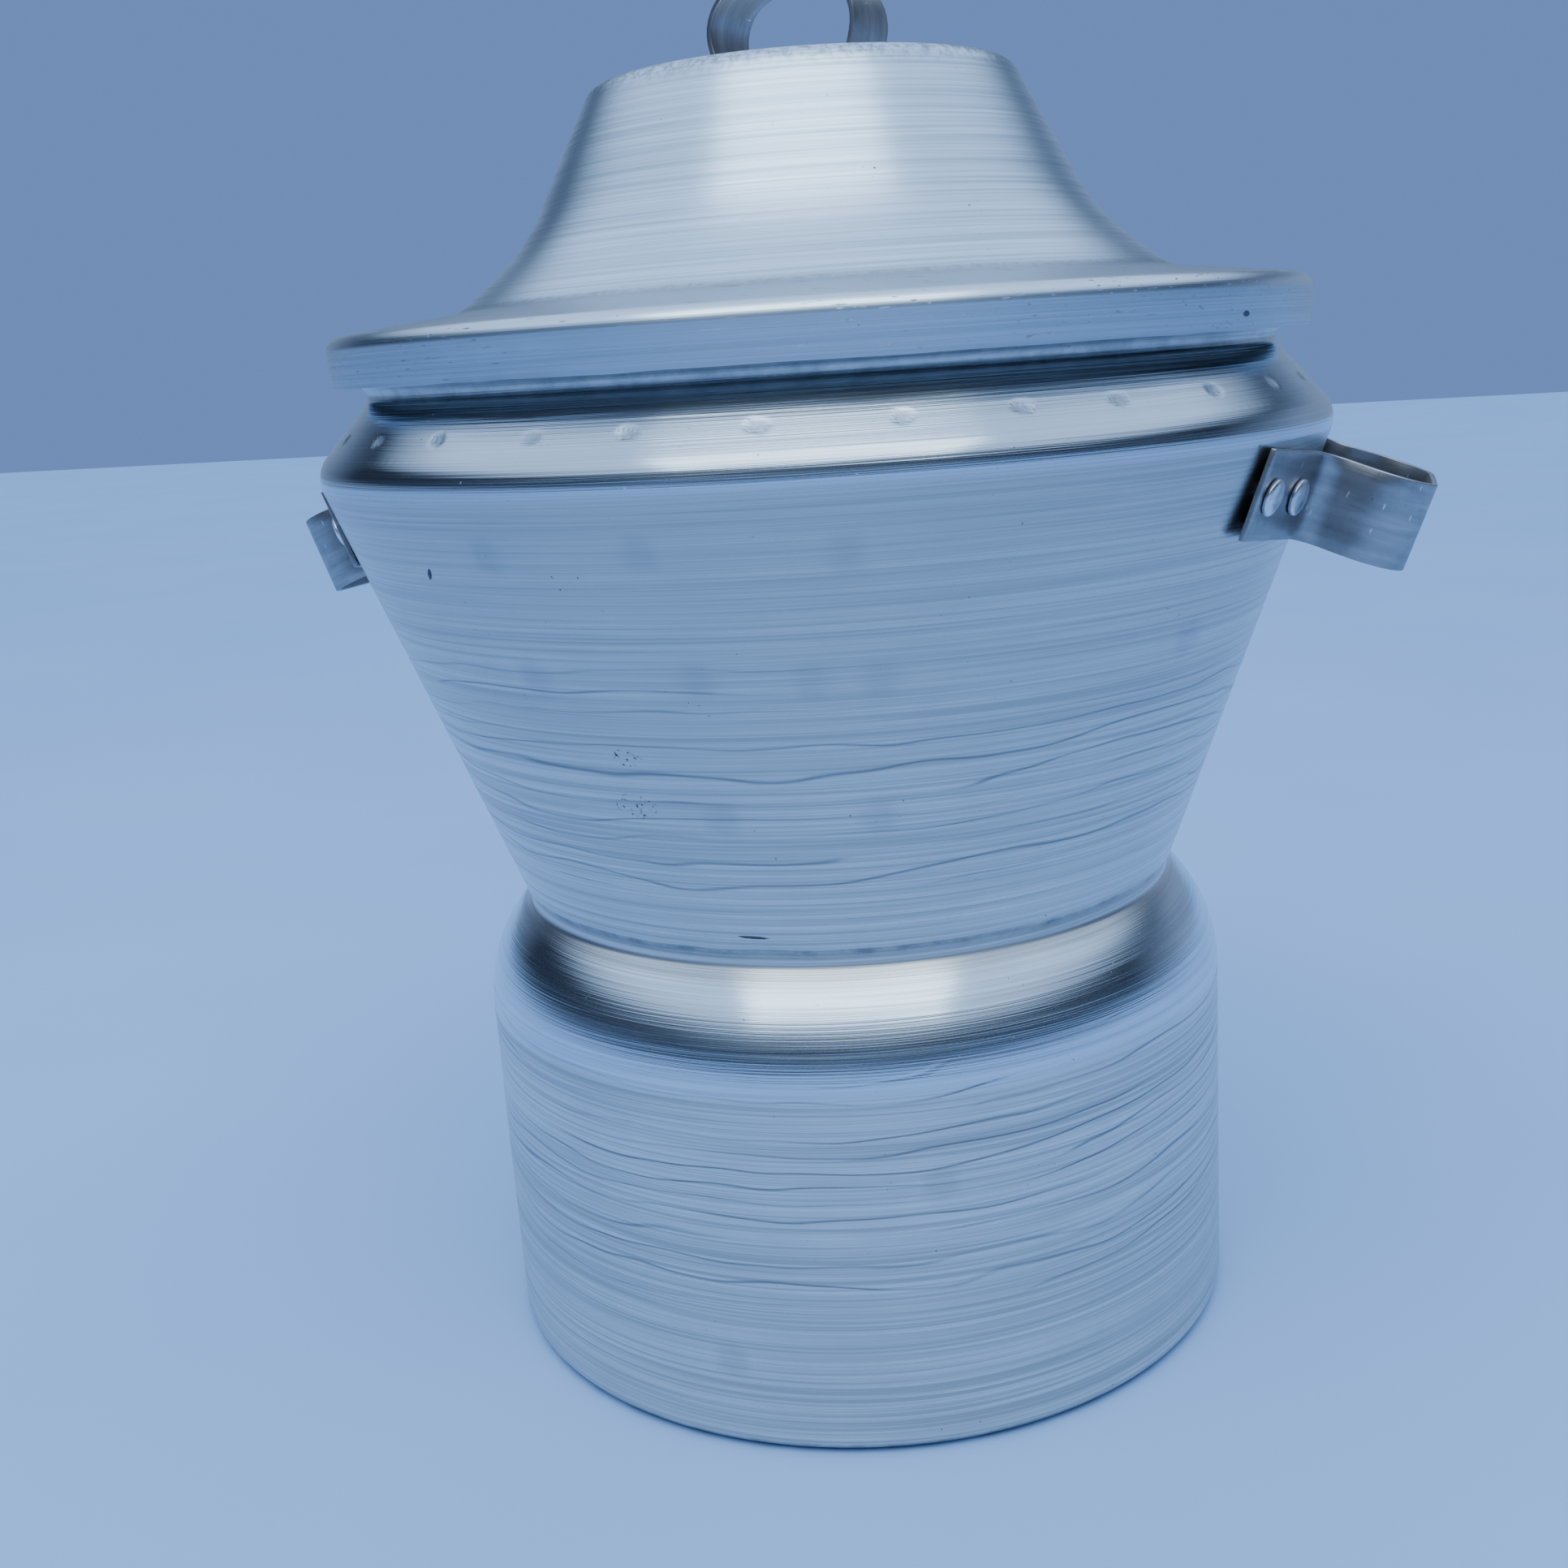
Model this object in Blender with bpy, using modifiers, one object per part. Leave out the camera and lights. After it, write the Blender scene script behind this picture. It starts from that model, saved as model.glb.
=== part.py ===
"""A spun aluminium steamer pot: a one-piece hourglass body with two riveted strip handles, a loose
hat-shaped lid with its own strip handle, and a perforated steam plate resting above the waist.

Metres, +Z up. The origin is the centre of the base, and the side handles lie along +X and -X.
"""
import math

import bmesh
import bpy
from mathutils import Matrix, Vector

# Pot body: outside radii and heights, and the radius of each rounded corner.
BASE_RADIUS = 0.120
BASE_CORNER = 0.005
BODY_RADIUS = 0.1202
LOWER_SHOULDER_HEIGHT = 0.1280
LOWER_SHOULDER_CURVE = 0.043
NECK_RADIUS = 0.1032
NECK_HEIGHT = 0.1433
NECK_CURVE = 0.003
WAIST_RADIUS = 0.106           # the crease where the cone starts
WAIST_HEIGHT = 0.148
CONE_SLOPE = 0.3676            # run of the cone for each unit of rise
UPPER_SHOULDER_HEIGHT = 0.2825  # where the cone and the upper shoulder would meet
UPPER_SHOULDER_CURVE = 0.010
MOUTH_RADIUS = 0.1363
MOUTH_HEIGHT = 0.3041
COLLAR_RADIUS = 0.1429
COLLAR_HEIGHT = 0.3095
COLLAR_CURVE = 0.003
RIM_RADIUS = 0.1436
RIM_HEIGHT = 0.3193
POT_WALL = 0.0020

# Lid: outside radii and heights as it sits on the pot.
SKIRT_RADIUS = 0.1472          # lower edge of the down-turned skirt
SKIRT_BOTTOM = 0.3065
BRIM_RADIUS = 0.1484
BRIM_HEIGHT = 0.3207
BRIM_CORNER = 0.0042
HAT_FOOT_RADIUS = 0.1086
HAT_FOOT_HEIGHT = 0.3257
HAT_FOOT_CURVE = 0.010
HAT_FLARE_RADIUS = 0.0869
HAT_FLARE_HEIGHT = 0.3427
HAT_FLARE_CURVE = 0.055
HAT_TOP_RADIUS = 0.0631
HAT_TOP_CORNER = 0.007
LID_TOP = 0.388
LID_WALL = 0.0015
LID_TURN = math.radians(-8)    # the lid's handle stands a little off the line of the others

# Steam plate.
PLATE_RADIUS = 0.1072
PLATE_TOP = 0.159
PLATE_EDGE_DEPTH = 0.006
PLATE_CORNER = 0.0025
PLATE_WALL = 0.0012
PLATE_HOLE_RADIUS = 0.003
PLATE_HOLE_RINGS = ((0.048, 10), (0.066, 14), (0.084, 18))     # ring radius, holes in the ring

# Handles: strips bent to a D-shaped loop with flat feet.
STRIP_WIDTH = 0.025
STRIP_THICKNESS = 0.0016
SIDE_BENDS = (0.008, 0.012)    # radii of the foot bends and of the grip corners
GRIP_HALF_SPAN = 0.033
SIDE_HANDLE_HEIGHT = 0.2607
SIDE_HANDLES = (("right", 0.0, 0.031), ("left", math.pi, 0.027))      # name, turn about Z, reach
SIDE_FOOT_CENTRE = 0.0467      # along the loop, where the flat foot touches the round wall
SIDE_FOOT_BACK = 0.019         # from there to the strip's end
SIDE_FOOT_FRONT = 0.0255       # and to the bend
SIDE_RIVETS = (0.008, 0.028)   # from the strip's end
LID_HANDLE = {"foot_end": 0.041, "leg": 0.0195, "grip": 0.027, "reach": 0.026,
              "rivet": 0.031, "width": STRIP_WIDTH, "bends": (0.004, 0.013)}
PLATE_HANDLE = {"foot_end": 0.036, "leg": 0.020, "grip": 0.023, "reach": 0.028,
                "rivet": 0.029, "width": 0.014, "bends": (0.004, 0.010)}

# Rivets: head outside, plain shank, and the closed end inside.
HEAD_RADIUS = 0.0052
HEAD_HEIGHT = 0.0019
SHANK_RADIUS = 0.0022
CLOSED_RADIUS = 0.0040
CLOSED_HEIGHT = 0.0013

GAP = 0.0003                   # between touching pieces
ROUND_WALL_GAP = 0.0018        # under a flat foot's rivets, where the round wall falls away
DRILL_DEPTH = 0.02
RIVET_HOLE_SIDES = 8
PERFORATION_SIDES = 6
ROUND_STEPS = 40
RIVET_STEPS = 12
ARC_STEP = math.radians(22.5)

BRIGHT = ((0.80, 0.82, 0.84), 0.28)        # colour, roughness
SATIN = ((0.70, 0.72, 0.74), 0.38)
MILL = ((0.48, 0.49, 0.51), 0.42)
RIVET_FINISH = ((0.72, 0.73, 0.75), 0.33)

for old in list(bpy.data.objects):
    bpy.data.objects.remove(old)

pieces = bpy.data.collections.new("steamer_pot")
guides = bpy.data.collections.new("cutters")
for collection in (pieces, guides):
    bpy.context.scene.collection.children.link(collection)


def rounded(corners):
    """Points through (x, y, radius) corners, with an arc at each corner that has a radius."""
    points = []
    for index, (x, y, radius) in enumerate(corners):
        corner = Vector((x, y))
        if radius == 0:
            points.append(corner)
            continue
        back = (Vector(corners[index - 1][:2]) - corner).normalized()
        ahead = (Vector(corners[index + 1][:2]) - corner).normalized()
        half = back.angle(ahead) / 2
        centre = corner + (back + ahead).normalized() * radius / math.sin(half)
        first = corner + back * radius / math.tan(half) - centre
        last = corner + ahead * radius / math.tan(half) - centre
        start = math.atan2(first.y, first.x)
        turn = (math.atan2(last.y, last.x) - start + math.pi) % math.tau - math.pi
        count = max(1, math.ceil(abs(turn) / ARC_STEP))
        for step in range(count + 1):
            angle = start + turn * step / count
            points.append(centre + Vector((math.cos(angle), math.sin(angle))) * radius)
    return points


def finish_piece(piece, finish):
    """Give a piece its own material and put it in the object's collection."""
    colour, roughness = finish
    material = bpy.data.materials.new(piece.name)
    material.use_nodes = True
    shader = material.node_tree.nodes["Principled BSDF"]
    shader.inputs["Base Color"].default_value = (*colour, 1)
    shader.inputs["Metallic"].default_value = 1.0
    shader.inputs["Roughness"].default_value = roughness
    piece.data.materials.append(material)
    pieces.objects.link(piece)
    return piece


def add_screw(piece, steps):
    """Turn the piece's outline, which runs down its outer side, once about Z."""
    screw = piece.modifiers.new("Turn", "SCREW")
    screw.steps = steps
    screw.render_steps = steps
    screw.use_merge_vertices = True
    screw.merge_threshold = 0.00001
    screw.use_smooth_shade = True


def add_thickness(piece, thickness):
    """Give an open surface its thickness, all of it behind the faces."""
    solidify = piece.modifiers.new("Thickness", "SOLIDIFY")
    solidify.thickness = thickness
    solidify.offset = -1
    solidify.use_even_offset = True


def outline_object(name, corners):
    """An object whose mesh is only the rounded outline, in its XZ plane."""
    points = rounded(corners)
    mesh = bpy.data.meshes.new(name)
    links = [(index, index + 1) for index in range(len(points) - 1)]
    mesh.from_pydata([(x, 0, z) for x, z in points], links, [])
    return bpy.data.objects.new(name, mesh)


def spun_shell(name, corners, wall, finish):
    """A sheet spun to the given outside corners, with its wall inside them."""
    shell = outline_object(name, corners)
    add_screw(shell, ROUND_STEPS)
    add_thickness(shell, wall)
    return finish_piece(shell, finish)


def bent_strip(name, corners, width, finish):
    """A strip bent in its XY plane. The corners lie on its inner face, which looks at the wall."""
    curve = bpy.data.curves.new(name, "CURVE")
    curve.dimensions = "2D"
    curve.extrude = width / 2
    path = rounded(corners)
    spline = curve.splines.new("POLY")
    spline.points.add(len(path) - 1)
    for point, (x, y) in zip(spline.points, path):
        point.co = (x, y, 0, 1)
    bent = bpy.data.objects.new(name, curve)
    guides.objects.link(bent)
    evaluated = bent.evaluated_get(bpy.context.evaluated_depsgraph_get())
    mesh = bpy.data.meshes.new_from_object(evaluated)
    bpy.data.objects.remove(bent)
    strip = bpy.data.objects.new(name, mesh)
    add_thickness(strip, STRIP_THICKNESS)
    return finish_piece(strip, finish)


def loop_corners(foot_end, bend, grip, bends):
    """A D-shaped loop: foot, bend and grip corners on the +X side, mirrored to the -X side."""
    side = [(*foot_end, 0), (*bend, bends[0]), (*grip, bends[1])]
    return side + [(-x, y, radius) for x, y, radius in reversed(side)]


def rivet_place(x, y, lean):
    """The place of a rivet at (x, y) on a loop's foot, its axis square to a foot that leans."""
    upright = Matrix.Rotation(lean, 4, "Z") @ Matrix.Rotation(math.radians(-90), 4, "X")
    return Matrix.Translation((x, y, 0)) @ upright


def rivet(name, parent, place, stack):
    """A rivet whose head sits on the strip and whose closed end sits under the stack."""
    seat = STRIP_THICKNESS + GAP
    corners = [
        (0, seat + HEAD_HEIGHT, 0),
        (HEAD_RADIUS * 0.6, seat + HEAD_HEIGHT, 0),
        (HEAD_RADIUS, seat + HEAD_HEIGHT / 2, 0),
        (HEAD_RADIUS, seat, 0),
        (SHANK_RADIUS, seat, 0),
        (SHANK_RADIUS, -stack, 0),
        (CLOSED_RADIUS, -stack, 0),
        (CLOSED_RADIUS * 0.8, -stack - CLOSED_HEIGHT, 0),
        (0, -stack - CLOSED_HEIGHT, 0),
    ]
    piece = outline_object(name, corners)
    add_screw(piece, RIVET_STEPS)
    piece.parent = parent
    piece.matrix_local = place
    finish_piece(piece, RIVET_FINISH)


def drill(name, parent, places, radius, sides, targets):
    """Cut a hole along the Z axis of each place through every target."""
    mesh = bpy.data.meshes.new(name)
    work = bmesh.new()
    for place in places:
        bmesh.ops.create_cone(work, cap_ends=True, segments=sides, radius1=radius,
                              radius2=radius, depth=DRILL_DEPTH, matrix=place)
    work.to_mesh(mesh)
    work.free()
    cutter = bpy.data.objects.new(name, mesh)
    cutter.parent = parent
    cutter.hide_render = True
    cutter.display_type = "WIRE"
    guides.objects.link(cutter)
    for target in targets:
        cut = target.modifiers.new("Holes", "BOOLEAN")
        cut.operation = "DIFFERENCE"
        cut.solver = "EXACT"
        cut.object = cutter


def anchor(name, matrix):
    """An empty that carries a handle and its rivets."""
    empty = bpy.data.objects.new(name, None)
    empty.matrix_world = matrix
    guides.objects.link(empty)
    return empty


def make_pot_body():
    """The hourglass body, spun from one sheet: collar, shoulder, cone, waist and lower body."""
    shoulder_radius = WAIST_RADIUS + CONE_SLOPE * (UPPER_SHOULDER_HEIGHT - WAIST_HEIGHT)
    corners = [
        (RIM_RADIUS, RIM_HEIGHT, 0),
        (COLLAR_RADIUS, COLLAR_HEIGHT, COLLAR_CURVE),
        (MOUTH_RADIUS, MOUTH_HEIGHT, COLLAR_CURVE),
        (shoulder_radius, UPPER_SHOULDER_HEIGHT, UPPER_SHOULDER_CURVE),
        (WAIST_RADIUS, WAIST_HEIGHT, 0),
        (NECK_RADIUS, NECK_HEIGHT, NECK_CURVE),
        (BODY_RADIUS, LOWER_SHOULDER_HEIGHT, LOWER_SHOULDER_CURVE),
        (BASE_RADIUS, 0, BASE_CORNER),
        (0, 0, 0),
    ]
    return spun_shell("pot_body", corners, POT_WALL, BRIGHT)


def make_lid_shell():
    """The hat-shaped lid: flat top, flared hat, sloping brim and down-turned skirt."""
    corners = [
        (0, LID_TOP, 0),
        (HAT_TOP_RADIUS, LID_TOP, HAT_TOP_CORNER),
        (HAT_FLARE_RADIUS, HAT_FLARE_HEIGHT, HAT_FLARE_CURVE),
        (HAT_FOOT_RADIUS, HAT_FOOT_HEIGHT, HAT_FOOT_CURVE),
        (BRIM_RADIUS, BRIM_HEIGHT, BRIM_CORNER),
        (SKIRT_RADIUS, SKIRT_BOTTOM, 0),
    ]
    return spun_shell("lid_shell", corners, LID_WALL, BRIGHT)


def make_steam_plate():
    """The perforated plate, its edge turned down along the cone that it rests in."""
    corners = [
        (0, PLATE_TOP, 0),
        (PLATE_RADIUS, PLATE_TOP, PLATE_CORNER),
        (PLATE_RADIUS - CONE_SLOPE * PLATE_EDGE_DEPTH, PLATE_TOP - PLATE_EDGE_DEPTH, 0),
    ]
    plate = spun_shell("steam_plate", corners, PLATE_WALL, SATIN)
    places = []
    for ring_radius, holes in PLATE_HOLE_RINGS:
        for hole in range(holes):
            turn = Matrix.Rotation(math.tau * (hole + 0.5) / holes, 4, "Z")
            places.append(turn @ Matrix.Translation((ring_radius, 0, PLATE_TOP)))
    drill("perforations", None, places, PLATE_HOLE_RADIUS, PERFORATION_SIDES, [plate])
    return plate


def add_side_handle(side, turn, reach, pot_body):
    """A loop square to the cone's wall, with two rivets through each flat foot."""
    wall_angle = math.atan(CONE_SLOPE)
    wall_radius = WAIST_RADIUS + CONE_SLOPE * (SIDE_HANDLE_HEIGHT - WAIST_HEIGHT)
    centre = anchor(
        f"side_handle_{side}_anchor",
        Matrix.Rotation(turn, 4, "Z")
        @ Matrix.Translation((wall_radius, 0, SIDE_HANDLE_HEIGHT))
        @ Matrix.Rotation(wall_angle, 4, "Y")
        @ Matrix.Rotation(math.radians(-90), 4, "Z"),
    )
    curve_radius = wall_radius / math.cos(wall_angle)
    lean = math.asin(SIDE_FOOT_CENTRE / curve_radius)
    touch_height = (curve_radius + 2 * GAP) * math.cos(lean) - curve_radius
    touch = Vector((SIDE_FOOT_CENTRE, touch_height))
    along = Vector((math.cos(lean), -math.sin(lean)))
    foot_end = touch + along * SIDE_FOOT_BACK
    bend = touch - along * SIDE_FOOT_FRONT
    corners = loop_corners(foot_end, bend, (GRIP_HALF_SPAN, reach), SIDE_BENDS)
    handle = bent_strip(f"side_handle_{side}", corners, STRIP_WIDTH, MILL)
    handle.parent = centre
    places = []
    for mirror in (1, -1):
        for back in SIDE_RIVETS:
            x, y = foot_end - along * back
            places.append(rivet_place(mirror * x, y, -mirror * lean))
    for number, place in enumerate(places, 1):
        name = f"side_handle_{side}_rivet_{number}"
        rivet(name, centre, place, POT_WALL + ROUND_WALL_GAP)
    drill(f"side_handle_{side}_holes", centre, places, SHANK_RADIUS + GAP, RIVET_HOLE_SIDES,
          [handle, pot_body])


def add_top_handle(name, height, turn, shape, wall, sheet, finish):
    """A loop standing on a flat sheet, with one rivet through each foot."""
    centre = anchor(
        f"{name}_anchor",
        Matrix.Translation((0, 0, height))
        @ Matrix.Rotation(turn, 4, "Z")
        @ Matrix.Rotation(math.radians(90), 4, "X"),
    )
    corners = loop_corners((shape["foot_end"], GAP), (shape["leg"], GAP),
                           (shape["grip"], shape["reach"]), shape["bends"])
    handle = bent_strip(f"{name}_handle", corners, shape["width"], finish)
    handle.parent = centre
    places = [rivet_place(mirror * shape["rivet"], GAP, 0) for mirror in (1, -1)]
    for number, place in enumerate(places, 1):
        rivet(f"{name}_rivet_{number}", centre, place, wall + 2 * GAP)
    drill(f"{name}_handle_holes", centre, places, SHANK_RADIUS + GAP, RIVET_HOLE_SIDES,
          [handle, sheet])


pot_body = make_pot_body()
for side, turn, reach in SIDE_HANDLES:
    add_side_handle(side, turn, reach, pot_body)
add_top_handle("lid", LID_TOP, LID_TURN, LID_HANDLE, LID_WALL, make_lid_shell(), MILL)
add_top_handle("steam_plate", PLATE_TOP, 0, PLATE_HANDLE, PLATE_WALL, make_steam_plate(), SATIN)
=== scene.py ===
"""An hourglass steamer pot in spun aluminium, with a hat-shaped lid, strip handles and a steam plate."""
import math
import random

import bpy
from mathutils import Matrix, Vector, noise
from mathutils.kdtree import KDTree


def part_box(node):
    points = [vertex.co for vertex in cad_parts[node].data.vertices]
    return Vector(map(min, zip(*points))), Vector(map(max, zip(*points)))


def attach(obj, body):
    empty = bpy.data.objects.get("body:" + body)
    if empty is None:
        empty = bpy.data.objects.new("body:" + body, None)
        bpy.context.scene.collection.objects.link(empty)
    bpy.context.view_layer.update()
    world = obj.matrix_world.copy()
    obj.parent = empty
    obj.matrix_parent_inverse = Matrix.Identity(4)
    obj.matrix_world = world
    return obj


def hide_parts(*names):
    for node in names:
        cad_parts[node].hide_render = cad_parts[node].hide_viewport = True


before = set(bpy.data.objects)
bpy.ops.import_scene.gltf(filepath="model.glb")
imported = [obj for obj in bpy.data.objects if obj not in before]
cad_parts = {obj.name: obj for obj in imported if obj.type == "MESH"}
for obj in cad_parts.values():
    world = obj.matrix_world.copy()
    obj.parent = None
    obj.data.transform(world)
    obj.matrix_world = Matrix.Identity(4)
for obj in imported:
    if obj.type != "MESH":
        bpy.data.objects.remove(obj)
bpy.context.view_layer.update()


# ---------------------------------------------------------------------------------------------
# Pot body. One disc of 2 mm aluminium, spun over a former into a drum, a pinched waist and a
# cone, then turned in over the shoulder to the mouth and flared into a collar for the lid.
# The spinning tool leaves rings all round, polishes the shoulders and chatters in two zones.

pot_low, pot_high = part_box("pot_body")
pot_wall = 0.002
base_radius = 0.120
drum_radius = 0.1202
waist_radius, waist_height = 0.106, 0.148           # the crease under the cone
neck_radius, neck_height = 0.1032, 0.1433
cone_slope = 0.3676                                 # run of the cone for each unit of rise
lower_shoulder_height = 0.1280
shoulder_height = 0.2825
shoulder_radius = waist_radius + cone_slope * (shoulder_height - waist_height)
mouth_radius, mouth_height = 0.1363, 0.3041
collar_radius, collar_height = 0.1429, 0.3095
rim_radius = 0.1436
rim_round = 0.0008                                  # the rolled-over lip above the sheet's edge
pot_columns = 240
pot_corners = [
    (0, 0, 0),
    (base_radius, 0, 0.005),
    (drum_radius, lower_shoulder_height, 0.043),
    (neck_radius, neck_height, 0.003),
    (waist_radius, waist_height, 0),
    (shoulder_radius, shoulder_height, 0.010),
    (mouth_radius, mouth_height, 0.003),
    (collar_radius, collar_height, 0.003),
    (rim_radius, pot_high.z - rim_round, 0),
]
drum_chatter = (0.050, 0.112)                       # heights between which the tool chattered
cone_chatter = (0.168, 0.226)
chatter_depth = 0.00011
out_of_round = 0.00016
crease_wave = 0.00045


def rounded_outline(corners, arc_step):
    """Points through (x, y, radius) corners, with an arc at each corner that has a radius."""
    points = []
    for index, (x, y, radius) in enumerate(corners):
        corner = Vector((x, y))
        if radius == 0:
            points.append(corner)
            continue
        back = (Vector(corners[index - 1][:2]) - corner).normalized()
        ahead = (Vector(corners[index + 1][:2]) - corner).normalized()
        half = back.angle(ahead) / 2
        centre = corner + (back + ahead).normalized() * radius / math.sin(half)
        first = corner + back * radius / math.tan(half) - centre
        last = corner + ahead * radius / math.tan(half) - centre
        start = math.atan2(first.y, first.x)
        turn = (math.atan2(last.y, last.x) - start + math.pi) % math.tau - math.pi
        count = max(2, math.ceil(abs(turn) / arc_step))
        for step in range(count + 1):
            angle = start + turn * step / count
            points.append(centre + Vector((math.cos(angle), math.sin(angle))) * radius)
    return points


def divided(points, spacing):
    """The same outline with points added, no two further apart than spacing(height)."""
    result = [points[0]]
    for first, last in zip(points, points[1:]):
        count = math.ceil((last - first).length / spacing((first.y + last.y) / 2))
        for step in range(1, count + 1):
            result.append(first.lerp(last, step / count))
    return result


def inner_outline(points, wall):
    """The other face of a sheet whose outer face the points follow, one wall to their left."""
    result = []
    for index, point in enumerate(points):
        before = points[max(index - 1, 0)]
        after = points[min(index + 1, len(points) - 1)]
        first = (point - before if index else after - point).normalized()
        last = (after - point if after is not point else point - before).normalized()
        side = Vector((-first.y - last.y, first.x + last.x)).normalized()
        slant = side.dot(Vector((-first.y, first.x)))
        inner = point + side * wall / slant
        result.append(Vector((max(inner.x, 0), inner.y)))
    return result


def draw_line(name, points):
    """Draw a line of points by extruding one vertex along them."""
    bpy.ops.object.select_all(action="DESELECT")
    bpy.ops.mesh.primitive_plane_add(size=0.01, location=(0, 0, 0))
    line = bpy.context.object
    line.name = line.data.name = name
    bpy.ops.object.mode_set(mode="EDIT")
    bpy.ops.mesh.select_all(action="SELECT")
    bpy.ops.mesh.merge(type="CENTER")
    bpy.ops.transform.translate(value=points[0])
    for first, last in zip(points, points[1:]):
        bpy.ops.mesh.extrude_region_move(TRANSFORM_OT_translate={"value": last - first})
    bpy.ops.object.mode_set(mode="OBJECT")
    places = KDTree(len(points))
    distances = [0]
    for index, point in enumerate(points):
        places.insert(point, index)
        if index:
            distances.append(distances[-1] + (point - points[index - 1]).length)
    places.balance()
    along = line.data.attributes.new("along", "FLOAT", "POINT")
    for vertex, note in zip(line.data.vertices, along.data):
        note.value = distances[places.find(vertex.co)[1]]
    return line


def spin_wall(name, outer, inner, columns):
    """Turn a wall's outline, out along one face and back along the other, once about Z."""
    outline = outer + inner[::-1]
    wall = draw_line(name, [Vector((point.x, 0, point.y)) for point in outline])
    bpy.ops.object.mode_set(mode="EDIT")
    bpy.ops.mesh.select_all(action="SELECT")
    bpy.ops.mesh.spin(steps=columns, angle=math.tau, center=(0, 0, 0), axis=(0, 0, 1))
    bpy.ops.mesh.select_all(action="SELECT")
    bpy.ops.mesh.remove_doubles(threshold=0.00001)
    bpy.ops.mesh.normals_make_consistent(inside=False)
    bpy.ops.object.mode_set(mode="OBJECT")
    bpy.ops.object.shade_smooth_by_angle(angle=math.radians(35))
    return wall


def outline_length(points):
    return sum((last - first).length for first, last in zip(points, points[1:]))


def fade(value, start, end):
    """0 before start, 1 after end, smooth between them."""
    part = min(max((value - start) / (end - start), 0), 1)
    return part * part * (3 - 2 * part)


def within(value, low, high, soft):
    """1 between low and high, fading to 0 over soft on each side."""
    return fade(value, low - soft, low) * (1 - fade(value, high, high + soft))


def note_on_points(piece, name, values):
    """Keep one number for each point of a piece, for its material to read."""
    note = piece.data.attributes.new(name, "FLOAT", "POINT")
    note.data.foreach_set("value", values)


def pot_spacing(height):
    chattered = (drum_chatter[0] < height < drum_chatter[1]
                 or cone_chatter[0] < height < cone_chatter[1])
    return 0.0013 if chattered else 0.0045


def round_the_lip(points):
    """The crest of the lip, between the last points of the outer and inner faces."""
    outer_end, inner_end = points
    return (outer_end + inner_end) / 2 + Vector((0, rim_round))


pot_outline = divided(rounded_outline(pot_corners, math.radians(8)), pot_spacing)
pot_inside = inner_outline(rounded_outline(pot_corners, math.radians(18)), pot_wall)
pot_lip = round_the_lip((pot_outline[-1], pot_inside[-1]))
pot_outside_length = outline_length(pot_outline)
pot = spin_wall("pot_spun_body", pot_outline + [pot_lip], pot_inside, pot_columns)

# The ring of file marks on the upper shoulder, where the turned-in sheet was steadied.
# Each is a shallow oval flat about 5 mm long. Their places round the shoulder are uneven.
mark_height = 0.2925
mark_band = (0.2880, 0.2972)
mark_half_length, mark_half_width = 0.0030, 0.0021
mark_depth = 0.00034
front_turn = 17                                     # degrees from -Y to the front of the pot
mark_turns = [front_turn + turn for turn in
              (-54, -42, -28.8, -18.3, -5.9, 7.6, 19.1, 29.5, 42.8, 55.1)]
random.seed(7)
unseen_marks = 20
first_gap = (360 - (mark_turns[-1] - mark_turns[0])) / (unseen_marks + 1)
mark_turns += [mark_turns[9] + first_gap * step + random.uniform(-1.2, 1.2)
               for step in range(1, unseen_marks + 1)]


def turn_of(point):
    """Degrees round the pot, from -Y towards +X."""
    return math.degrees(math.atan2(point.x, -point.y))


def turn_between(first, last):
    return (last - first + 180) % 360 - 180


def refine_faces(piece, wanted, cuts):
    """Subdivide the faces of a piece for which wanted(face) holds."""
    bpy.ops.object.select_all(action="DESELECT")
    piece.select_set(True)
    bpy.context.view_layer.objects.active = piece
    bpy.context.tool_settings.mesh_select_mode = (False, False, True)
    bpy.ops.object.mode_set(mode="EDIT")
    bpy.ops.mesh.select_all(action="DESELECT")
    bpy.ops.object.mode_set(mode="OBJECT")
    for face in piece.data.polygons:
        face.select = wanted(face)
    bpy.ops.object.mode_set(mode="EDIT")
    bpy.ops.mesh.subdivide(number_cuts=cuts)
    bpy.ops.object.mode_set(mode="OBJECT")
    bpy.context.tool_settings.mesh_select_mode = (True, False, False)


def in_mark_band(face):
    middle, outward = face.center, face.normal
    faces_out = middle.x * outward.x + middle.y * outward.y > 0
    return faces_out and mark_band[0] < middle.z < mark_band[1]


def shoulder_radius_at(height):
    """The outside radius of the pot between the cone and the mouth, at a height."""
    for first, last in zip(pot_outline, pot_outline[1:]):
        if first.y <= height <= last.y and height > waist_height:
            return first.x + (last.x - first.x) * (height - first.y) / (last.y - first.y)
    return mouth_radius


def mark_strength(point):
    """1 in the middle of a file mark, 0 at its edge and beyond."""
    if abs(point.z - mark_height) > mark_half_width * 1.3:
        return 0
    radius = math.hypot(point.x, point.y)
    nearest = min((abs(turn_between(turn, turn_of(point))) for turn in mark_turns))
    sideways = math.radians(nearest) * radius / mark_half_length
    upward = (point.z - mark_height) * 1.39 / mark_half_width
    ragged = 0.55 * noise.noise(point * 620) + 0.35 * noise.noise(point * 210)
    return max(0, 1 - sideways ** 2 - upward ** 2 + ragged * min(1, 1.6 - sideways ** 2))


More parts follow.
